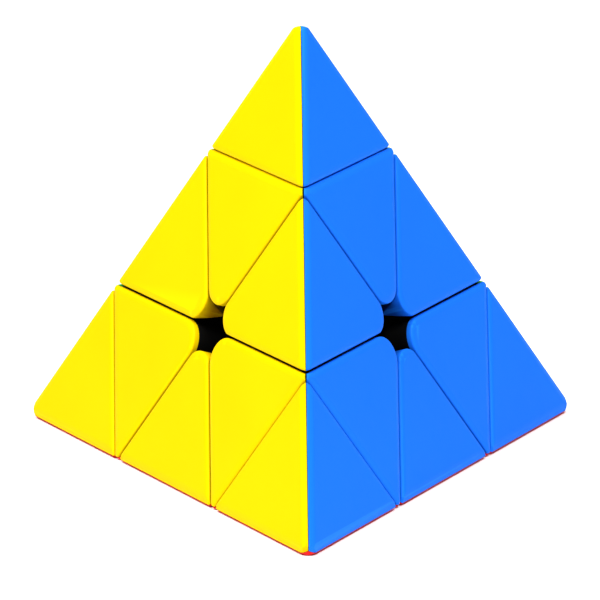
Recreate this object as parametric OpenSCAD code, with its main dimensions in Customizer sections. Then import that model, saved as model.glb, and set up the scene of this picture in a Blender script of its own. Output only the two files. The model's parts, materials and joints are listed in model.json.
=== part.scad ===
// Pyramid twisty puzzle: a four-sided pyramid cut into four tips, four axial pieces and six edge pieces that
// turn on a sprung core. Millimetres. The origin is the turning centre, where the four turning axes meet.
// +Z points to the top corner, the front corner is towards -Y, and the pyramid stands on the face below.
// Corners, and the faces opposite them, are numbered 0 top, 1 front, 2 right, 3 left.

/* [Pyramid] */
// Edge of the pyramid from sharp corner to sharp corner, before its corners are rounded
edge_length = 102.6; // [85:0.1:125]
// Radius that rounds the outer edges
outer_radius = 1.1; // [0.8:0.1:1.4]
// How far inside the sharp corner each of the four blunt corners ends
corner_cut = 3.1; // [2.9:0.1:4]
// Radius of the piece corners that ring the hole in the middle of each face
centre_radius = 4.1; // [3:0.1:5]
// Gap between two neighbouring pieces at a cut
cut_gap = 0.25; // [0.15:0.01:0.35]

/* [Tip and edge shells] */
// Depth of a coloured shell, from the face to its back rim
shell_depth = 5; // [4:0.1:6.2]
// Thickness of a shell's front wall
front_wall = 1.9; // [1.4:0.1:2.4]
// Thickness of a shell's side walls
side_wall = 1.5; // [1:0.1:2]
// Gap between the two colours of a tip or an edge, along the pyramid's edge
mitre_gap = 0.1; // [0.05:0.01:0.2]

/* [Axial tiles] */
// Thickness of the coloured tiles on an axial piece
tile_depth = 1.3; // [1:0.1:1.8]
// Gap between two tiles of one axial piece, where they meet at the pyramid's edge
tile_gap = 0.2; // [0.1:0.01:0.3]
// Width of the rim that carries a tile, round the hollow behind it
tile_rim = 1.8; // [1.2:0.1:2.5]
// Depth of the hollow behind a tile, from the face
hollow_depth = 8.5; // [4:0.1:10]
// Thickness of the walls that part a hollow from the spring well and from the feet below
inner_wall = 1.4; // [1:0.1:2]

/* [Pegs] */
// Radius of the peg that holds a shell or a tile to the black part behind it
peg_radius = 1.4; // [1:0.1:1.6]
// How far a peg of an axial tile or of an edge shell reaches into the black part
peg_grip = 1.8; // [1:0.1:2]
// Black plastic left between the holes of the three pegs that meet in a tip
peg_web = 0.34; // [0.2:0.01:0.6]
// Radial clearance of a peg in its hole
peg_clearance = 0.05; // [0.02:0.01:0.1]
// Thickness of the boss round a peg hole that stands in a hollow
boss_wall = 1.2; // [0.8:0.1:1.6]

/* [Core and feet] */
// Thickness of black plastic between the back of the shells and the top of the feet
foot_cover = 0.7; // [0.4:0.1:1.2]
// Thickness of the curved feet that hook the edge pieces under the axial pieces
foot_thickness = 3.4; // [2.4:0.1:3.8]
// Half angle of the cone, about a turning axis, that a layer's feet fill
foot_angle = 69.5; // [68:0.1:70]
// Clearance between parts that slide past each other inside
running_gap = 0.25; // [0.15:0.01:0.4]
// Radius of the core's four posts
post_radius = 4; // [3:0.1:4.9]
// Radial clearance of a post in its axial piece
post_clearance = 0.08; // [0.03:0.01:0.1]
// How far a post stands above the top of the feet
post_rise = 0.5; // [0:0.1:1.5]

/* [Screws, springs and washers] */
// Thickness of the axial piece's floor, which the spring presses on
floor_thickness = 2; // [1.5:0.1:2.5]
// Radius of the screw's shank
screw_radius = 1.5; // [1.2:0.1:1.8]
// How far the screw thread bites into the wall of its pilot hole
thread_bite = 0.2; // [0.1:0.05:0.3]
// Distance from the turning centre to the end of a screw
screw_end = 6.5; // [5:0.1:7.5]
// Radius of the screw head
head_radius = 3; // [2.5:0.1:3.7]
// Height of the screw head
head_height = 2; // [1.6:0.1:2.2]
// Thickness of the washer under the screw head
washer_thickness = 0.5; // [0.4:0.1:0.8]
// Radial clearance of the screw head in its well
well_clearance = 0.7; // [0.4:0.1:1]
// Radius of the spring wire
wire_radius = 0.25; // [0.2:0.05:0.3]
// Number of turns in a spring
spring_turns = 6; // [5:1:7]
// Length of each arm of the cross in the screw head
recess_arm = 1.8; // [1.2:0.1:2.2]
// Width of the cross
recess_width = 0.72; // [0.5:0.01:1]
// Depth of the cross
recess_depth = 1.2; // [0.8:0.1:1.4]

/* [Tip snap] */
// Length of the stem below a tip
stem_length = 5.5; // [5:0.1:6]
// Radius of the stem
stem_radius = 2.8; // [2.2:0.1:3.4]
// Radial clearance of the stem in its socket
stem_clearance = 0.08; // [0.03:0.01:0.1]
// How far the barb on the stem stands out
barb_lip = 0.5; // [0.3:0.05:0.6]
// Height of the barb
barb_height = 1.6; // [1.2:0.1:2]
// Width of the slots that let the stem spring inwards
stem_slot = 0.9; // [0.6:0.1:1.2]

/* [Hidden] */
corner_name = ["top", "front", "right", "left"];
corner_azimuth = [0, -90, 30, 150];
// Colour of the face opposite each corner
colour_name = ["red", "green", "yellow", "blue"];
face_colour = [[0.84, 0.06, 0.07], [0.05, 0.60, 0.20], [0.98, 0.92, 0.02], [0.10, 0.44, 0.96]];
black = [0.04, 0.04, 0.045];
steel = [0.72, 0.73, 0.75];
// The six edge pieces: the corner whose layer carries each at rest, then the other corner of its layers
edge_pairs = [[1, 0], [0, 2], [0, 3], [1, 2], [3, 1], [3, 2]];
corners = [0:3];
axis_angle = acos(-1 / 3);
// Cutting blocks reach far past the pyramid, and joined shapes run a little into each other
reach = 2 * edge_length;
merge = 0.2;
// How fast the distance along a turning axis grows along a face, towards that axis's corner
face_slope = sin(axis_angle);
height = edge_length * sqrt(2 / 3);
face_distance = height / 4;
corner_distance = 3 * face_distance;
layer_cut = face_distance / 3;
tip_cut = 5 * layer_cut;
// From the middle of a face to a side, which is also the depth of one small triangle of the face
triangle_depth = edge_length / (2 * sqrt(3));
// Spheres that bound the feet, and the ball of the core inside them
foot_top = face_distance - shell_depth - foot_cover;
foot_bottom = foot_top - foot_thickness;
ball_radius = foot_bottom - running_gap;
// Half angle of an axial piece's neck, clear of the feet of the layers round it
neck_angle = axis_angle - foot_angle - running_gap / foot_bottom * 180 / PI;
neck_overlap = 0.5;
// The foot cones are drawn from inside the feet to outside them
cone_start = 0.9 * foot_bottom;
cone_end = 1.5 * foot_top;
// Heights along a turning axis, from the centre outwards
post_root = 0.8 * ball_radius;
post_top = foot_top + post_rise;
floor_bottom = post_top + running_gap;
floor_top = floor_bottom + floor_thickness;
stem_bottom = tip_cut - stem_length;
well_top = stem_bottom - running_gap;
head_top = well_top - running_gap;
head_bottom = head_top - head_height;
spring_top = head_bottom - washer_thickness;
pilot_radius = screw_radius - thread_bite;
spring_radius = head_radius - wire_radius;
well_radius = head_radius + well_clearance;
groove_radius = stem_radius + barb_lip + running_gap;
sleeve_radius = max(well_radius, groove_radius) + inner_wall;
// Corner rounding round the hole in a face: distances from the middle of the face
corner_tip_x = cut_gap / face_slope;
corner_centre_x = corner_tip_x + 2 * centre_radius;
corner_tangent_x = corner_centre_x - centre_radius / 2;
corner_near_x = corner_centre_x - centre_radius;
// The black parts stop this far behind the coloured rims of the hole, from a depth that is clear of the feet
hole_setback = 0.3;
hole_start = foot_bottom - foot_thickness;
// Distance from the middle of a face to each kind of peg
tip_core_height = corner_distance - 3 * shell_depth - tip_cut;
tip_peg_x = (tip_cut + tip_core_height / 3 + shell_depth / 3 - layer_cut) / face_slope;
// The three pegs of a tip point to the middle of its black heart, where their holes end a web apart
peg_hole_end = (peg_radius + peg_clearance) / sqrt(2) + peg_web * sqrt(3 / 8);
tip_peg_grip = tip_core_height / 4 - peg_hole_end - merge;
axial_peg_x = triangle_depth * 2 / 3;
edge_back_x = triangle_depth - shell_depth * sqrt(2);
edge_peg_x = (2 * edge_back_x + shell_depth * sqrt(2) / 2) / 3;
// The spring wire: steps in each turn, sides round the wire, and how much its ends close up
spring_steps = 14;
wire_sides = 6;
end_closing = 0.6;
$fn = 64;

function edge_name(pair) = str(corner_name[min(pair)], "_", corner_name[max(pair)]);
function edge_node(kind, pair) = str(kind, "_", edge_name(pair));
function face_node(kind, place, f) = str(kind, "_", place, "_", colour_name[f]);

function unit(v) = v / norm(v);
function corner_direction(c) = c == 0
    ? [0, 0, 1]
    : [face_slope * cos(corner_azimuth[c]), face_slope * sin(corner_azimuth[c]), -1 / 3];
// Unit vectors that lie in face f and point from its middle to corner c, or to the edge between two corners
function to_corner(f, c) = unit(corner_direction(c) + corner_direction(f) / 3);
function to_edge(f, pair) = unit(to_corner(f, pair[0]) + to_corner(f, pair[1]));

// A half space is [direction, distance]: all that lies further than distance along direction
function tip_cuts(c) = [[corner_direction(c), tip_cut]];
function edge_cuts(pair) = [for (c = pair) [corner_direction(c), layer_cut]];
function axial_cuts(c) = concat(
    [[corner_direction(c), layer_cut], [-corner_direction(c), -tip_cut]],
    [for (o = corners) if (o != c) [-corner_direction(o), -layer_cut]]
);
function mitres(f, others) = [for (o = others) [unit(corner_direction(o) - corner_direction(f)), 0]];
function faces_round(c) = [for (f = corners) if (f != c) f];
function faces_along(pair) = [for (f = corners) if (f != pair[0] && f != pair[1]) f];
function all_but(list, f) = [for (x = list) if (x != f) x];

module in_frame(x, z) {
    y = cross(z, x);
    multmatrix([[x.x, y.x, z.x, 0], [x.y, y.y, z.y, 0], [x.z, y.z, z.z, 0], [0, 0, 0, 1]]) children();
}

module along(direction)
    rotate([0, acos(direction.z), atan2(direction.y, direction.x)])
        children();

// Face f lies flat at z = 0 with its middle at the origin, outwards up, and x along the direction given
module on_face(f, x)
    in_frame(x, -corner_direction(f))
        translate([0, 0, face_distance])
            children();

module beyond(half_space, inset = 0)
    along(half_space[0])
        translate([-reach, -reach, half_space[1] + inset])
            cube(2 * reach);

module within(half_spaces, inset)
    intersection_for(h = half_spaces)
        beyond(h, inset);

module shallower(f, depth)
    beyond([-corner_direction(f), face_distance - depth]);

module deeper(f, depth)
    beyond([corner_direction(f), depth - face_distance]);

module rounded_pyramid()
    hull()
        for (c = corners)
            translate(corner_direction(c) * (corner_distance - 3 * outer_radius))
                sphere(outer_radius, $fn = 32);

// All of a face piece but the sharp corner at the middle of face f
module rounded_corner(f, x)
    on_face(f, x)
        translate([0, 0, -reach])
            linear_extrude(2 * reach) {
                translate([corner_centre_x, 0])
                    circle(centre_radius, $fn = 48);
                translate([corner_tangent_x, -reach])
                    square(2 * reach);
            }

// The convex outer form of one coloured part on face f. A part with a corner at the middle of the face is
// intersected with its rounded_corner too.
module face_form(f, cuts, mates, depth, gap)
    hull()
        intersection() {
            rounded_pyramid();
            shallower(f, depth);
            within(cuts, cut_gap / 2);
            within(mitres(f, mates), gap / 2);
            children();
        }

// The hollow inside a shell, open at its back
module shell_hollow(f, cuts, mates, x)
    hull()
        intersection() {
            shallower(f, shell_depth + merge);
            deeper(f, front_wall);
            within(cuts, cut_gap / 2 + side_wall);
            within(mitres(f, mates), mitre_gap / 2 + side_wall);
            on_face(f, x)
                translate([corner_near_x + side_wall, -reach, -reach])
                    cube(2 * reach);
        }

// A peg or its hole on face f, between two depths below the face
module peg(f, x, peg_x, radius, top, bottom)
    on_face(f, x)
        translate([peg_x, 0, -bottom])
            cylinder(r = radius, h = bottom - top);

// A coloured shell on face f, hollow behind, with its peg. x points from the middle of the face to its piece.
module shell(f, cuts, mates, x, peg_x, grip)
    color(face_colour[f]) {
        difference() {
            face_form(f, cuts, mates, shell_depth, mitre_gap)
                children();
            shell_hollow(f, cuts, mates, x);
        }
        peg(f, x, peg_x, peg_radius, front_wall - merge, shell_depth + grip);
    }

module tip_shell(c, f)
    shell(f, tip_cuts(c), all_but(faces_round(c), f), to_corner(f, c), tip_peg_x, tip_peg_grip)
        beyond([-corner_direction(c), corner_cut - corner_distance]);

module edge_shell(pair, f)
    shell(f, edge_cuts(pair), all_but(faces_along(pair), f), to_edge(f, pair), edge_peg_x, peg_grip)
        rounded_corner(f, to_edge(f, pair));

module axial_tile(c, f)
    color(face_colour[f]) {
        face_form(f, axial_cuts(c), all_but(faces_round(c), f), tile_depth, tile_gap)
            rounded_corner(f, to_corner(f, c));
        peg(f, to_corner(f, c), axial_peg_x, peg_radius, tile_depth - merge, tile_depth + peg_grip);
    }

// The hole for a peg in a black part that starts at that depth below face f
module peg_hole(f, x, peg_x, depth, grip)
    peg(f, x, peg_x, peg_radius + peg_clearance, depth - merge, depth + grip + merge);

// Black heart of a tip, with the split stem that snaps into the axial piece below it
module tip_base(c)
    color(black)
        difference() {
            union() {
                intersection() {
                    within(tip_cuts(c), cut_gap / 2);
                    for_faces_deeper(faces_round(c), shell_depth);
                }
                along(corner_direction(c)) {
                    translate([0, 0, stem_bottom])
                        cylinder(r = stem_radius, h = stem_length + cut_gap / 2 + merge);
                    translate([0, 0, stem_bottom])
                        cylinder(r1 = stem_radius, r2 = stem_radius + barb_lip, h = barb_height / 2);
                    translate([0, 0, stem_bottom + barb_height / 2])
                        cylinder(r = stem_radius + barb_lip, h = barb_height / 2);
                }
            }
            for (f = faces_round(c))
                peg_hole(f, to_corner(f, c), tip_peg_x, shell_depth, tip_peg_grip);
            along(corner_direction(c))
                for (turn = [0, 90])
                    rotate(turn)
                        translate([-reach, -stem_slot / 2, stem_bottom - merge])
                            cube([2 * reach, stem_slot, stem_length - merge]);
        }

module for_faces_deeper(faces, depth)
    intersection_for(f = faces)
        deeper(f, depth);

// What the hole in face f takes off a black part whose coloured rim is rounded
module hole_corner(f, x)
    on_face(f, x)
        translate([0, 0, -face_distance + layer_cut])
            difference() {
                translate([-centre_radius, -2 * centre_radius, 0])
                    cube([centre_radius + corner_tangent_x, 4 * centre_radius, face_distance]);
                translate([corner_centre_x, 0, -merge])
                    cylinder(r = centre_radius, h = face_distance + 2 * merge);
            }

// The hollow in the black frame behind a tile, round the boss that takes the tile's peg
module tile_hollow(c, f)
    difference() {
        intersection() {
            deeper(f, tile_depth - merge);
            shallower(f, hollow_depth);
            within(axial_cuts(c), cut_gap / 2 + tile_rim);
            within(mitres(f, all_but(faces_round(c), f)), tile_rim);
            on_face(f, to_corner(f, c))
                translate([corner_near_x + tile_rim, -reach, -reach])
                    cube(2 * reach);
        }
        peg(f, to_corner(f, c), axial_peg_x, peg_radius + boss_wall, 0, hollow_depth + merge);
        along(corner_direction(c)) {
            sphere(foot_top + running_gap + inner_wall);
            cylinder(r = sleeve_radius, h = tip_cut);
        }
    }

// The neck of an axial piece, a cone from the bottom of the feet into the piece's body
module neck()
    rotate_extrude()
        intersection() {
            difference() {
                circle(foot_top + running_gap + neck_overlap);
                circle(foot_bottom);
            }
            polygon([[0, 0], [reach * tan(neck_angle), reach], [0, reach]]);
        }

// Black frame of an axial piece: the body behind its tiles, and the neck that rides on a post of the core
module axial_frame(c)
    color(black)
        difference() {
            union() {
                difference() {
                    intersection() {
                        within(axial_cuts(c), cut_gap / 2);
                        for_faces_deeper(faces_round(c), tile_depth);
                    }
                    along(corner_direction(c))
                        sphere(foot_top + running_gap);
                }
                along(corner_direction(c))
                    neck();
            }
            for (f = faces_round(c)) {
                hole_corner(f, to_corner(f, c));
                tile_hollow(c, f);
                peg_hole(f, to_corner(f, c), axial_peg_x, tile_depth, peg_grip);
            }
            along(corner_direction(c)) {
                cylinder(r = post_radius + post_clearance, h = floor_bottom);
                cylinder(r = screw_radius + running_gap, h = tip_cut);
                translate([0, 0, floor_top])
                    cylinder(r = well_radius, h = well_top - floor_top);
                translate([0, 0, well_top - merge])
                    cylinder(r = groove_radius, h = barb_height + 2 * running_gap + merge);
                translate([0, 0, well_top])
                    cylinder(r = stem_radius + stem_clearance, h = stem_length + running_gap);
            }
        }

// Section, from a turning axis outwards, of the cone that the feet of its layer fill
module foot_section()
    polygon([
        [0, cone_start * cos(foot_angle)],
        [cone_start * sin(foot_angle), cone_start * cos(foot_angle)],
        [cone_end * sin(foot_angle), cone_end * cos(foot_angle)],
        [cone_end * sin(foot_angle), cone_end],
        [0, cone_end]
    ]);

// The holes in the middles of the faces beside an edge piece, as wide as they cut its black heart
module face_holes(pair)
    for (f = faces_along(pair))
        along(-corner_direction(f))
            translate([0, 0, hole_start])
                cylinder(r = corner_near_x + hole_setback, h = face_distance);

// The curved foot: the part of a round shell that lies in the cones of both the piece's layers
module foot(pair)
    intersection() {
        difference() {
            along(corner_direction(pair[0]))
                rotate_extrude()
                    intersection() {
                        difference() {
                            circle(foot_top);
                            circle(foot_bottom);
                        }
                        foot_section();
                    }
            face_holes(pair);
        }
        along(corner_direction(pair[1]))
            rotate_extrude()
                foot_section();
    }

// Black heart of an edge piece, with the curved foot that hooks under the axial pieces beside it
module edge_foot(pair)
    color(black)
        difference() {
            union() {
                foot(pair);
                difference() {
                    intersection() {
                        within(edge_cuts(pair), cut_gap / 2);
                        for_faces_deeper(faces_along(pair), shell_depth);
                    }
                    face_holes(pair);
                    along(corner_direction(pair[0]))
                        sphere(foot_bottom + merge);
                }
            }
            for (f = faces_along(pair))
                peg_hole(f, to_edge(f, pair), edge_peg_x, shell_depth, peg_grip);
        }

module core()
    color(black)
        difference() {
            union() {
                sphere(ball_radius);
                for (c = corners)
                    along(corner_direction(c))
                        translate([0, 0, post_root])
                            cylinder(r = post_radius, h = post_top - post_root);
            }
            for (c = corners)
                along(corner_direction(c))
                    translate([0, 0, screw_end - running_gap])
                        cylinder(r = pilot_radius, h = post_top - screw_end + running_gap + merge);
        }

module axis_screws()
    color(steel)
        for (c = corners)
            along(corner_direction(c))
                difference() {
                    union() {
                        translate([0, 0, screw_end])
                            cylinder(r = screw_radius, h = head_top - screw_end);
                        translate([0, 0, head_bottom])
                            cylinder(r = head_radius, h = head_height);
                    }
                    for (turn = [0, 90])
                        rotate(turn)
                            translate([-recess_arm, -recess_width / 2, head_top - recess_depth])
                                cube([2 * recess_arm, recess_width, recess_depth + merge]);
                }

module axis_washers()
    color(steel)
        for (c = corners)
            along(corner_direction(c))
                translate([0, 0, spring_top])
                    difference() {
                        cylinder(r = well_radius - running_gap, h = washer_thickness);
                        translate([0, 0, -merge])
                            cylinder(r = screw_radius + peg_clearance, h = washer_thickness + 2 * merge);
                    }

// The helix is closed up a little at its ends, where it bears on the floor and the washer
function spring_rise(t) = t - end_closing * sin(360 * t) / (2 * PI);
function ring_centre(t) = [
    spring_radius * cos(360 * spring_turns * t),
    spring_radius * sin(360 * spring_turns * t),
    floor_top + wire_radius + (spring_top - floor_top - 2 * wire_radius) * spring_rise(t)
];
function ring_point(t, side) =
    let (turn = 360 * spring_turns * t, a = 360 * side / wire_sides)
    ring_centre(t) + wire_radius * [cos(a) * cos(turn), cos(a) * sin(turn), sin(a)];

module spring() {
    rings = spring_turns * spring_steps;
    points = [for (i = [0:rings], s = [0:wire_sides - 1]) ring_point(i / rings, s)];
    sides = [
        for (i = [0:rings - 1], s = [0:wire_sides - 1])
            let (a = i * wire_sides + s, b = i * wire_sides + (s + 1) % wire_sides)
            for (triangle = [[a, a + wire_sides, b], [b, a + wire_sides, b + wire_sides]]) triangle
    ];
    first_end = [for (s = [0:wire_sides - 1]) s];
    last_end = [for (s = [wire_sides - 1:-1:0]) rings * wire_sides + s];
    polyhedron(points, concat(sides, [first_end], [last_end]));
}

module axis_springs()
    color(steel)
        for (c = corners)
            along(corner_direction(c))
                spring();

core();
axis_screws();
axis_springs();
axis_washers();
for (c = corners) {
    tip_base(c);
    axial_frame(c);
    for (f = faces_round(c)) {
        tip_shell(c, f);
        axial_tile(c, f);
    }
}
for (p = edge_pairs) {
    edge_foot(p);
    for (f = faces_along(p))
        edge_shell(p, f);
}
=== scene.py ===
import json
import math

import bmesh
import bpy
from mathutils import Matrix, Vector


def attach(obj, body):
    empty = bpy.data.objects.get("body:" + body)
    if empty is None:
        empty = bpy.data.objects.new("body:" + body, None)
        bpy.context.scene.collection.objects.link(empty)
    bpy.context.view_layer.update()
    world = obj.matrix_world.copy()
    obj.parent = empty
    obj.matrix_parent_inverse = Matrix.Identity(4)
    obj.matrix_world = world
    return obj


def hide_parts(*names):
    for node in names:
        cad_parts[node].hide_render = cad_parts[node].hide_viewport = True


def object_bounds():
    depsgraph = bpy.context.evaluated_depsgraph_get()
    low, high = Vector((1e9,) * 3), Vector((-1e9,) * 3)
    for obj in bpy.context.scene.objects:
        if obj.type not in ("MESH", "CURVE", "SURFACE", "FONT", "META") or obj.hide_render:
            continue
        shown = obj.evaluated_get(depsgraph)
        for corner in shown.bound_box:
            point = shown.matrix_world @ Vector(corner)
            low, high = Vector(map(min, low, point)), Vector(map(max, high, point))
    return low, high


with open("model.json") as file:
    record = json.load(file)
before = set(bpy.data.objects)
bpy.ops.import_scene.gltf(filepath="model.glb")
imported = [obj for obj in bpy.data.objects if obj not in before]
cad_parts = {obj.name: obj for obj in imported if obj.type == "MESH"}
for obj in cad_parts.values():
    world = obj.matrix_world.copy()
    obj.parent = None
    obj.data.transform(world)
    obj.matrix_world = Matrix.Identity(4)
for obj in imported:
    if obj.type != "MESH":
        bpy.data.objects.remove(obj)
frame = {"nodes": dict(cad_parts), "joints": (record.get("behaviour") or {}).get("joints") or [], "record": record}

# The pyramid twisty puzzle. Its coloured shells and tiles are built here in millimetres, in the frame of the
# CAD model, with the soft edges of moulded plastic, and are scaled to metres at the end. The black parts, the
# screws, the washers and the springs are the CAD model's own.

CAD_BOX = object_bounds()
MM = 0.001

# Sizes of the coloured parts, in millimetres
OUTER_RADIUS = 1.1         # of the pyramid's six edges
CORNER_RADIUS = 2.6        # of its four blunt corners
CORNER_CUT = 3.13          # how far inside the sharp corner a blunt corner ends
CENTRE_RADIUS = 4.1        # of the corners round the hole in the middle of a face
CUT_GAP = 0.25             # between pieces on the two sides of a cut
SHELL_DEPTH = 5.0          # of the tip and edge shells
MITRE_GAP = 0.1            # between two shells of one piece
MITRE_FILLET = 0.12        # of their rims at that gap
TILE_DEPTH = 1.3           # of the axial tiles
TILE_GAP = 0.2             # between two tiles of one piece
TILE_END_FILLET = 0.5      # of their rims at that gap
SEAM_FILLET = 0.4          # of all other rims
CROWN_RADIUS = 4.5         # of the gentle fall of a face to its rims
CROWN_WIDTH = 1.5          # how far from a rim that fall begins
EDGE_CROWN = 1.0           # the same, measured from the rounding of the pyramid's edge

# How finely round forms are drawn
OUTER_STEP = math.radians(11)
FILLET_STEP = math.radians(15)
CENTRE_STEPS = 14
CENTRE_TURN = math.radians(60)       # either way from the middle of a rounded corner
CROWN_STEPS = 3
CORNER_RINGS = (15, 30, 45, 60)      # degrees from the corner's axis
CORNER_SIDES = 12
MITRE_TURNS = (18, 36, 54, 72)       # degrees
WELD = 1e-4
# An edge where the surface turns by more than this is shaded as a crease
SHARP = math.radians(38)
# Two unit vectors whose dot product is above this count as parallel
PARALLEL = 0.9

# The camera: its place round the turning centre, in degrees and metres, and the point it looks at
CAMERA_AZIMUTH = -0.88
CAMERA_ELEVATION = 16.24
CAMERA_ROLL = -0.28
CAMERA_DISTANCE = 1.3223
CAMERA_LENS = 440.8
LOOK_RIGHT = -0.00038
LOOK_UP = 0.00869

# The floor lies this many metres lower than the face that stands on it, so that the two are never one plane
FLOOR_GAP = 0.00002
FLOOR_RADIUS = 4.0
FLOOR_SIDES = 96

# Softboxes: name, azimuth and elevation in degrees, side in metres and power in watts
SOFTBOX_DISTANCE = 0.9
SOFTBOXES = (
    ("key_light", -56, 54, 0.3, 7.2),
    ("fill_light", 30, 60, 0.3, 6.6),
    ("back_light", 180, 60, 0.5, 1.0),
)
TENT_BRIGHTNESS = 0.3

CORNERS = ("top", "front", "right", "left")
FACE_OPPOSITE = {"red": "top", "green": "front", "yellow": "right", "blue": "left"}
COLOUR_SLOTS = {
    "red": "red_plastic",
    "green": "green_plastic",
    "yellow": "yellow_plastic",
    "blue": "blue_plastic",
}
# What the names of the coloured nodes begin with
PART_KINDS = ("tip_shell_", "axial_tile_", "edge_shell_")


# ---- Geometry of the pyramid, read from the frame ----

def turning_axes():
    """The direction from the turning centre to each corner."""
    axes = {}
    for joint in frame["joints"]:
        if joint["name"].endswith("_layer_turn"):
            axes[joint["name"].replace("_layer_turn", "")] = Vector(joint["axis"]).normalized()
    return axes


AXIS = turning_axes()
FACE_DISTANCE = -CAD_BOX[0].z / MM
CORNER_DISTANCE = 3 * FACE_DISTANCE
LAYER_CUT = FACE_DISTANCE / 3
TIP_CUT = 5 * LAYER_CUT
# The sine of the angle between a face and a cut that isn't parallel to it
FACE_SLOPE = math.sqrt(8) / 3
# The rounded corners of the pieces round the middle of a face: the sharp point, and the rounding's centre
CORNER_TIP = CUT_GAP / FACE_SLOPE
CORNER_CENTRE = CORNER_TIP + 2 * CENTRE_RADIUS


def outward(colour):
    """The outward normal of a face of the pyramid."""
    return -AXIS[FACE_OPPOSITE[colour]]


def along_face(colour, corners):
    """The direction in a face, from its middle, to a corner or to the edge between two corners."""
    normal = outward(colour)
    total = sum((AXIS[c] for c in corners), Vector())
    return (total - total.dot(normal) * normal).normalized()


# ---- Mesh building ----

def turn_between(a, b, share):
    """The unit vector that lies that share of the way round from a to b."""
    angle = a.angle(b)
    if angle < 1e-6:
        return a.copy()
    return (a * math.sin((1 - share) * angle) + b * math.sin(share * angle)) / math.sin(angle)


def arc(a, b, step):
    """Unit vectors from a round to b, both included."""
    count = max(1, round(a.angle(b) / step))
    return [turn_between(a, b, i / count) for i in range(count + 1)]


def add_face(mesh, points):
    mesh.faces.new([mesh.verts.new(p) for p in points])


def directions_round(vertex, step):
    """The normals of the faces round a vertex, in order, with arcs between them."""
    first = vertex.link_loops[0]
    loop, ring = first, []
    while True:
        following = loop.link_loop_prev.link_loop_radial_next
        ring += arc(loop.face.normal, following.face.normal, step)[:-1]
        loop = following
        if loop is first:
            return ring


def add_round_corner(mesh, centre, ring, radius, step):
    """A patch of a ball round centre, out to the directions in ring."""
    middle = sum(ring, Vector()).normalized()
    count = max(1, round(max(middle.angle(d) for d in ring) / step))
    rows = [[centre + radius * turn_between(middle, d, i / count) for d in ring] for i in range(count + 1)]
    for i in range(len(ring)):
        j = (i + 1) % len(ring)
        add_face(mesh, [rows[0][i], rows[1][i], rows[1][j]])
        for inner, outer in zip(rows[1:], rows[2:]):
            add_face(mesh, [inner[i], outer[i], outer[j], inner[j]])


def swell(core, radius, step):
    """The convex solid core grown by radius, so that its edges and corners become round."""
    core.normal_update()
    grown = bmesh.new()
    for face in core.faces:
        add_face(grown, [v.co + radius * face.normal for v in face.verts])
    for edge in core.edges:
        a, b = (v.co for v in edge.verts)
        turns = arc(edge.link_faces[0].normal, edge.link_faces[1].normal, step)
        for d, e in zip(turns, turns[1:]):
            add_face(grown, [a + radius * d, b + radius * d, b + radius * e, a + radius * e])
    for vertex in core.verts:
        add_round_corner(grown, vertex.co, directions_round(vertex, step), radius, step)
    bmesh.ops.remove_doubles(grown, verts=grown.verts[:], dist=WELD)
    bmesh.ops.dissolve_degenerate(grown, edges=grown.edges[:], dist=WELD)
    bmesh.ops.recalc_face_normals(grown, faces=grown.faces[:])
    return grown


def keep_beyond(mesh, direction, distance):
    """Cuts off what lies less than distance along direction, and closes the cut."""
    everything = mesh.verts[:] + mesh.edges[:] + mesh.faces[:]
    cut = bmesh.ops.bisect_plane(
        mesh, geom=everything, dist=WELD, plane_co=direction * distance, plane_no=-direction, clear_outer=True
    )
    rim = [e for e in cut["geom_cut"] if isinstance(e, bmesh.types.BMEdge)]
    if rim:
        bmesh.ops.contextual_create(mesh, geom=rim)


def pyramid_core(inset):
    """The pyramid with its faces moved inwards, sharp at its edges."""
    core = bmesh.new()
    points = [core.verts.new(AXIS[c] * (CORNER_DISTANCE - 3 * inset)) for c in CORNERS]
    for left_out in points:
        core.faces.new([p for p in points if p is not left_out])
    bmesh.ops.recalc_face_normals(core, faces=core.faces[:])
    return core


def directions_about(axis):
    """The axis, and rings of unit vectors that lean further and further from it."""
    side = axis.orthogonal().normalized()
    other = axis.cross(side)
    result = [axis.copy()]
    for lean in CORNER_RINGS:
        for i in range(CORNER_SIDES):
            turn = math.radians(360 * i / CORNER_SIDES)
            outwards = math.cos(turn) * side + math.sin(turn) * other
            result.append(math.cos(math.radians(lean)) * axis + math.sin(math.radians(lean)) * outwards)
    return result


def round_pyramid(fillet):
    """The pyramid with its edges and corners rounded, moved inwards by the fillet that its pieces grow by."""
    sharp = pyramid_core(OUTER_RADIUS)
    result = swell(sharp, OUTER_RADIUS - fillet, OUTER_STEP)
    sharp.free()
    for corner in CORNERS:
        axis = AXIS[corner]
        centre = axis * (CORNER_DISTANCE - CORNER_CUT - CORNER_RADIUS)
        for facing in directions_about(axis):
            # A plane that leans further than the edges do would cut other corners off
            if all(facing.dot(AXIS[c] - axis) <= 0 for c in CORNERS):
                keep_beyond(result, -facing, fillet - CORNER_RADIUS - centre.dot(facing))
    return result


def crown(mesh, colour, across, distance):
    """Lets a part's face fall gently to its rim. across points over the rim, distance away in the face."""
    normal = outward(colour)
    steepest = math.asin(CROWN_WIDTH / CROWN_RADIUS)
    centre = normal * (FACE_DISTANCE - CROWN_RADIUS) + across * (distance - CROWN_WIDTH)
    for i in range(CROWN_STEPS):
        slope = steepest * (i + 1) / CROWN_STEPS
        facing = math.cos(slope) * normal + math.sin(slope) * across
        keep_beyond(mesh, -facing, SEAM_FILLET - CROWN_RADIUS - centre.dot(facing))


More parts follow.
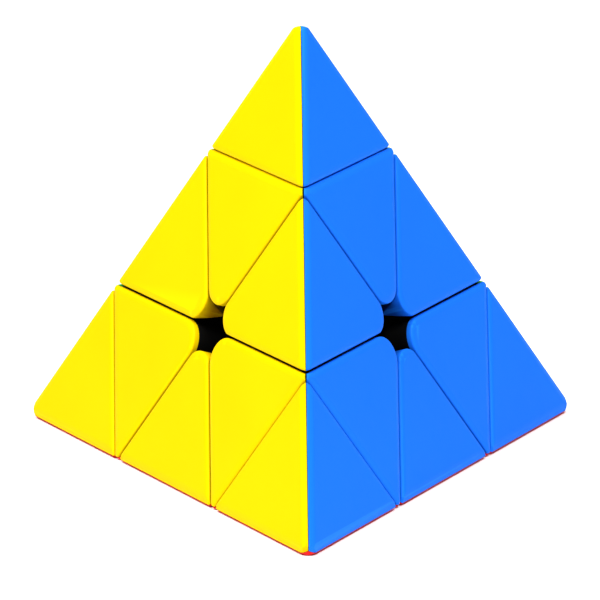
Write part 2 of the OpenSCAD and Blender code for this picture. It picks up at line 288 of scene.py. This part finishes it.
def cut_centre_corner(mesh, colour, direction):
    """Rounds the corner that a part has at the middle of a face."""
    normal = outward(colour)
    side = normal.cross(direction)
    for i in range(CENTRE_STEPS + 1):
        angle = CENTRE_TURN * (2 * i / CENTRE_STEPS - 1)
        inward = math.cos(angle) * direction + math.sin(angle) * side
        distance = (CORNER_CENTRE * direction).dot(inward) - CENTRE_RADIUS
        keep_beyond(mesh, inward, distance + SEAM_FILLET)
        crown(mesh, colour, -inward, -distance)


def cut_mitre(mesh, colour, other, gap, fillet):
    """Cuts a part along the pyramid's edge, where it meets the part on the next face, and rounds the rim."""
    normal, next_normal = outward(colour), outward(other)
    away = (normal - next_normal).normalized()
    out = (normal + next_normal).normalized()
    edge_distance = FACE_DISTANCE / out.dot(normal) - OUTER_RADIUS * (1 / out.dot(normal) - 1)
    keep_beyond(mesh, away, gap / 2)
    centre = away * (gap / 2 + fillet) + out * (edge_distance - fillet)
    for degrees in MITRE_TURNS:
        facing = -math.cos(math.radians(degrees)) * away + math.sin(math.radians(degrees)) * out
        keep_beyond(mesh, -facing, -(centre.dot(facing) + fillet))


def touches(cuts, colour):
    """Whether the piece that the cuts bound reaches the face of that colour."""
    opposite = AXIS[FACE_OPPOSITE[colour]]
    return not any(direction.dot(opposite) > PARALLEL and distance > 0 for direction, distance in cuts)


def build_part(name, colour, cuts, depth, gap, mitre_fillet, centre_direction, pyramid):
    """One coloured part: cuts are (direction, distance) pairs, and the part lies beyond each."""
    mesh = pyramid.copy()
    normal = outward(colour)
    others = [c for c in COLOUR_SLOTS if c != colour and touches(cuts, c)]
    # What is cut later is left this much too large, so that the swelling rounds only the rims that stay
    spare = 2 * SEAM_FILLET
    keep_beyond(mesh, normal, FACE_DISTANCE - depth - spare)
    for direction, distance in cuts:
        keep_beyond(mesh, direction, distance + CUT_GAP / 2 + SEAM_FILLET)
        slope = direction.dot(normal)
        if abs(slope) < PARALLEL:
            across = (slope * normal - direction).normalized()
            rim = (distance + CUT_GAP / 2 - FACE_DISTANCE * slope) / direction.dot(across)
            crown(mesh, colour, across, rim)
    # Where the flat of a face ends and the rounding of the pyramid's edge begins
    flat_end = math.sqrt(2) * (FACE_DISTANCE - OUTER_RADIUS)
    for other in others:
        keep_beyond(mesh, (normal - outward(other)).normalized(), -spare)
        slope = normal.dot(outward(other))
        across = (outward(other) - slope * normal).normalized()
        crown(mesh, colour, across, flat_end - EDGE_CROWN + CROWN_WIDTH)
    if centre_direction:
        cut_centre_corner(mesh, colour, centre_direction)
    part = swell(mesh, SEAM_FILLET, FILLET_STEP)
    mesh.free()
    keep_beyond(part, normal, FACE_DISTANCE - depth)
    for other in others:
        cut_mitre(part, colour, other, gap, mitre_fillet)
    return link_mesh(name, part)


def link_mesh(name, part):
    """An object from a mesh built in millimetres, shaded smooth between its sharp edges."""
    part.transform(Matrix.Scale(MM, 4))
    data = bpy.data.meshes.new(name)
    part.to_mesh(data)
    part.free()
    data.polygons.foreach_set("use_smooth", [True] * len(data.polygons))
    data.set_sharp_from_angle(angle=SHARP)
    piece = bpy.data.objects.new(name, data)
    bpy.context.scene.collection.objects.link(piece)
    weigh = piece.modifiers.new("even_shading", "WEIGHTED_NORMAL")
    weigh.keep_sharp = True
    return piece


# ---- The coloured parts ----

def tip_cuts(corner):
    return [(AXIS[corner], TIP_CUT)]


def edge_cuts(pair):
    return [(AXIS[c], LAYER_CUT) for c in pair]


def axial_cuts(corner):
    others = [(-AXIS[o], -LAYER_CUT) for o in CORNERS if o != corner]
    return [(AXIS[corner], LAYER_CUT), (-AXIS[corner], -TIP_CUT)] + others


def body_of_node(node):
    bodies = frame["record"]["behaviour"]["bodies"]
    return next(body for body, members in bodies.items() if node in members)


def make_part(node, pyramid):
    """Builds the coloured part that stands for a CAD node, and mounts it in the node's place."""
    kind = next(k for k in PART_KINDS if node.startswith(k))
    *corners, colour = node[len(kind):].split("_")
    middle = along_face(colour, corners)
    name = node + "_moulded"
    if kind == "tip_shell_":
        args = (tip_cuts(corners[0]), SHELL_DEPTH, MITRE_GAP, MITRE_FILLET, None)
    elif kind == "edge_shell_":
        args = (edge_cuts(corners), SHELL_DEPTH, MITRE_GAP, MITRE_FILLET, middle)
    else:
        args = (axial_cuts(corners[0]), TILE_DEPTH, TILE_GAP, TILE_END_FILLET, middle)
    piece = build_part(name, colour, *args, pyramid)
    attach(piece, body_of_node(node))
    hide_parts(node)
    piece.data.materials.append(PLASTIC[colour])
    return piece


# ---- Materials. Noise is in cycles a metre, and heights and depths are in metres ----

FLOW_MARKS = 45
WAVES = 70
WAVE_HEIGHT = 0.00004
GRAIN = 2600
GRAIN_HEIGHT = 0.000012
GLOSS_PATCHES = 260
GLOSS_SPREAD = 0.05
# Pointiness at which an edge begins to take its painted highlight, and at which the highlight is full
CREST_FROM, CREST_TO = 0.505, 0.56
# How far, at most, the painted highlight takes an edge crest towards its highlight colour
CREST_HIGHLIGHT_SHARE = 0.5
# Depths below a face at which painted shade begins to darken a side wall, and at which it is full
WALL_SHADE_FROM, WALL_SHADE_TO = 0.5 * MM, 2.6 * MM
# How far, at most, the painted shade takes a side wall towards its shade colour
WALL_SHADE_SHARE = 0.75
STEEL_PATCHES = 900
STEEL_LINES = 2200
STEEL_GRAIN = 5200
STEEL_GRAIN_HEIGHT = 0.000008
FLOOR_PATCHES = 9


def new_material(name):
    material = bpy.data.materials.new(name)
    material.use_nodes = True
    return material, material.node_tree, material.node_tree.nodes["Principled BSDF"]


def noise(tree, scale, detail=3.0, roughness=0.5):
    """Noise that is fixed to the piece."""
    place = tree.nodes.new("ShaderNodeTexCoord")
    node = tree.nodes.new("ShaderNodeTexNoise")
    node.inputs["Scale"].default_value = scale
    node.inputs["Detail"].default_value = detail
    node.inputs["Roughness"].default_value = roughness
    tree.links.new(place.outputs["Object"], node.inputs["Vector"])
    return node.outputs["Fac"]


def spread(tree, value, low, high, from_low=0.3, from_high=0.7):
    """A value between from_low and from_high, spread over low to high."""
    node = tree.nodes.new("ShaderNodeMapRange")
    node.inputs["From Min"].default_value = from_low
    node.inputs["From Max"].default_value = from_high
    node.inputs["To Min"].default_value = low
    node.inputs["To Max"].default_value = high
    tree.links.new(value, node.inputs["Value"])
    return node.outputs["Result"]


def blend_colours(tree, share, first, second):
    """A colour between two, by a share that varies over the surface."""
    node = tree.nodes.new("ShaderNodeMix")
    node.data_type = "RGBA"
    tree.links.new(share, node.inputs["Factor"])
    # A Mix node has sockets of the same names for each type of data, and these numbers are its colours
    for socket, colour in ((node.inputs[6], first), (node.inputs[7], second)):
        if isinstance(colour, bpy.types.NodeSocket):
            tree.links.new(colour, socket)
        else:
            socket.default_value = (*colour, 1)
    return node.outputs[2]


def bump(tree, height, distance, strength, under=None):
    """A bumpy normal, on top of the one under it."""
    node = tree.nodes.new("ShaderNodeBump")
    node.inputs["Strength"].default_value = strength
    node.inputs["Distance"].default_value = distance
    tree.links.new(height, node.inputs["Height"])
    if under:
        tree.links.new(under, node.inputs["Normal"])
    return node.outputs["Normal"]


def edge_crests(tree):
    """0 on flat plastic, rising to 1 on the crests of its rounded edges, where a highlight is painted."""
    geometry = tree.nodes.new("ShaderNodeNewGeometry")
    return spread(tree, geometry.outputs["Pointiness"], 0, 1, CREST_FROM, CREST_TO)


def depth_below(tree, colour):
    """0 at the face of that colour and just below it, rising to 1 at the back of a shell's side walls, where shade
    is painted.
    """
    place = tree.nodes.new("ShaderNodeTexCoord")
    along = tree.nodes.new("ShaderNodeVectorMath")
    along.operation = "DOT_PRODUCT"
    along.inputs[1].default_value = outward(colour)
    tree.links.new(place.outputs["Object"], along.inputs[0])
    face = MM * FACE_DISTANCE
    return spread(tree, along.outputs["Value"], 1, 0, face - WALL_SHADE_TO, face - WALL_SHADE_FROM)


def moulded_plastic(name, colour, shade, worn, roughness, specular, face=None, deep=None):
    """Satin moulded plastic: a fine spark-eroded grain, faint flow marks, a painted highlight on the crests of its
    rounded edges and, given a face, painted shade on its side walls.
    """
    material, tree, shader = new_material(name)
    flow = spread(tree, noise(tree, FLOW_MARKS, 2.0), 0, 1)
    grain = noise(tree, GRAIN, 2.0, 0.6)
    body = blend_colours(tree, flow, colour, shade)
    if face:
        # Painted shade: the side walls darken towards a shade colour with depth below the face, standing in for
        # the light they lose in the hole
        wall_shade_mask = spread(tree, depth_below(tree, face), 0, WALL_SHADE_SHARE, 0, 1)
        body = blend_colours(tree, wall_shade_mask, body, deep)
    # Painted highlight: the crests of the rounded edges are lightened towards the highlight colour
    crest_highlight_mask = spread(tree, edge_crests(tree), 0, CREST_HIGHLIGHT_SHARE, 0, 1)
    tree.links.new(blend_colours(tree, crest_highlight_mask, body, worn), shader.inputs["Base Color"])
    patches = noise(tree, GLOSS_PATCHES, 4.0)
    gloss = spread(tree, patches, roughness - GLOSS_SPREAD, roughness + GLOSS_SPREAD)
    tree.links.new(gloss, shader.inputs["Roughness"])
    waves = bump(tree, noise(tree, WAVES, 1.0), WAVE_HEIGHT, 0.6)
    tree.links.new(bump(tree, grain, GRAIN_HEIGHT, 0.5, waves), shader.inputs["Normal"])
    shader.inputs["Specular IOR Level"].default_value = specular
    return material


def steel(name, colour, roughness):
    """Zinc-plated steel with the fine lines of drawing and turning."""
    material, tree, shader = new_material(name)
    patches = spread(tree, noise(tree, STEEL_PATCHES, 4.0), 0, 1)
    darker = tuple(0.78 * c for c in colour)
    tree.links.new(blend_colours(tree, patches, colour, darker), shader.inputs["Base Color"])
    lines = spread(tree, noise(tree, STEEL_LINES, 3.0), roughness, roughness + 0.16)
    tree.links.new(lines, shader.inputs["Roughness"])
    grain = bump(tree, noise(tree, STEEL_GRAIN, 2.0), STEEL_GRAIN_HEIGHT, 0.5)
    tree.links.new(grain, shader.inputs["Normal"])
    shader.inputs["Metallic"].default_value = 1.0
    return material


PLASTIC = {
    "yellow": moulded_plastic(
        "yellow_plastic",
        colour=(0.66, 0.463, 0.0),
        shade=(0.65, 0.44, 0.0),
        # Painted highlight for the crests of the rounded edges
        worn=(0.70, 0.56, 0.0),
        roughness=0.42,
        specular=0.03,
        face="yellow",
        # Painted shade for the side walls, darker with depth below the face
        deep=(0.22, 0.06, 0.0),
    ),
    "blue": moulded_plastic(
        "blue_plastic",
        colour=(0.011, 0.156, 0.75),
        shade=(0.011, 0.151, 0.73),
        # Painted highlight for the crests of the rounded edges
        worn=(0.02, 0.23, 0.80),
        roughness=0.42,
        specular=0.06,
        face="blue",
        # Painted shade for the side walls, darker with depth below the face
        deep=(0.0, 0.01, 0.1),
    ),
    "red": moulded_plastic(
        "red_plastic",
        colour=(0.80, 0.025, 0.03),
        shade=(0.78, 0.022, 0.026),
        # Painted highlight for the crests of the rounded edges
        worn=(0.84, 0.04, 0.04),
        roughness=0.42,
        specular=0.06,
        face="red",
        # Painted shade for the side walls, darker with depth below the face
        deep=(0.12, 0.0, 0.0),
    ),
    "green": moulded_plastic(
        "green_plastic",
        colour=(0.0, 0.32, 0.05),
        shade=(0.0, 0.31, 0.045),
        # Painted highlight for the crests of the rounded edges
        worn=(0.01, 0.39, 0.07),
        roughness=0.42,
        specular=0.06,
        face="green",
        # Painted shade for the side walls, darker with depth below the face
        deep=(0.0, 0.04, 0.0),
    ),
}
BLACK = moulded_plastic(
    "black_plastic",
    colour=(0.004, 0.004, 0.004),
    shade=(0.003, 0.003, 0.003),
    # Painted highlight for the crests of the rounded edges
    worn=(0.008, 0.008, 0.008),
    roughness=0.5,
    specular=0.06,
)
SCREW_STEEL = steel("screw_steel", (0.62, 0.63, 0.65), 0.26)
SPRING_STEEL = steel("spring_steel", (0.52, 0.52, 0.53), 0.3)
METAL_NODES = {"axis_screws": SCREW_STEEL, "axis_washers": SCREW_STEEL, "axis_springs": SPRING_STEEL}


def cad_materials():
    """Gives the CAD model's own nodes their materials, and returns the names of the coloured ones."""
    coloured = []
    for name, node in frame["nodes"].items():
        if name.startswith(PART_KINDS):
            coloured.append(name)
            continue
        node.data.materials.clear()
        node.data.materials.append(METAL_NODES.get(name, BLACK))
    return sorted(coloured)


# ---- Floor, light and camera ----

def make_floor():
    """A pale round floor under the face that the pyramid stands on."""
    floor_mesh = bmesh.new()
    bmesh.ops.create_circle(floor_mesh, cap_ends=True, radius=FLOOR_RADIUS, segments=FLOOR_SIDES)
    data = bpy.data.meshes.new("floor")
    floor_mesh.to_mesh(data)
    floor_mesh.free()
    floor = bpy.data.objects.new("floor", data)
    floor.location.z = CAD_BOX[0].z - FLOOR_GAP
    bpy.context.scene.collection.objects.link(floor)
    material, tree, shader = new_material("floor_paper")
    tone = spread(tree, noise(tree, FLOOR_PATCHES, 3.0), 0, 1)
    paper = blend_colours(tree, tone, (0.86, 0.86, 0.86), (0.88, 0.88, 0.88))
    tree.links.new(paper, shader.inputs["Base Color"])
    shader.inputs["Roughness"].default_value = 0.9
    shader.inputs["Specular IOR Level"].default_value = 0.1
    data.materials.append(material)


def direction_from(azimuth, elevation):
    """The unit vector to a place round the turning centre, in radians. Azimuth 0 is the front."""
    return Vector((
        math.sin(azimuth) * math.cos(elevation),
        -math.cos(azimuth) * math.cos(elevation),
        math.sin(elevation),
    ))


def softbox(name, azimuth, elevation, size, power):
    """A square white area light that faces the turning centre."""
    light = bpy.data.lights.new(name, "AREA")
    light.shape = "SQUARE"
    light.size = size
    light.energy = power
    lamp = bpy.data.objects.new(name, light)
    back = direction_from(math.radians(azimuth), math.radians(elevation))
    lamp.location = back * SOFTBOX_DISTANCE
    lamp.rotation_euler = back.to_track_quat("Z", "Y").to_euler()
    bpy.context.scene.collection.objects.link(lamp)


def make_lights():
    """A white tent with softboxes round the pyramid, and the view that the picture is shown in."""
    scene = bpy.context.scene
    world = bpy.data.worlds.new("tent")
    scene.world = world
    world.use_nodes = True
    background = world.node_tree.nodes["Background"]
    background.inputs["Color"].default_value = (1, 1, 1, 1)
    background.inputs["Strength"].default_value = TENT_BRIGHTNESS
    for box in SOFTBOXES:
        softbox(*box)
    scene.view_settings.view_transform = "Standard"
    scene.view_settings.look = "Medium High Contrast"
    scene.view_settings.exposure = 0.0
    scene.cycles.use_denoising = True


def make_camera():
    """The camera, which faces the turning centre from its place and is then moved sideways and up."""
    back = direction_from(math.radians(CAMERA_AZIMUTH), math.radians(CAMERA_ELEVATION))
    right = (-back).cross(Vector((0, 0, 1))).normalized()
    up = right.cross(-back)
    roll = math.radians(CAMERA_ROLL)
    turned_right = math.cos(roll) * right + math.sin(roll) * up
    turned_up = math.cos(roll) * up - math.sin(roll) * right
    camera = bpy.data.objects.new("camera", bpy.data.cameras.new("camera"))
    camera.data.lens = CAMERA_LENS
    camera.data.clip_start = 0.05
    camera.data.clip_end = 50
    axes = Matrix((turned_right, turned_up, back)).transposed().to_4x4()
    place = LOOK_RIGHT * right + LOOK_UP * up + CAMERA_DISTANCE * back
    camera.matrix_world = Matrix.Translation(place) @ axes
    bpy.context.scene.collection.objects.link(camera)
    bpy.context.scene.camera = camera


make_camera()
make_lights()
make_floor()
PYRAMID = round_pyramid(SEAM_FILLET)
for coloured_node in cad_materials():
    make_part(coloured_node, PYRAMID)
PYRAMID.free()
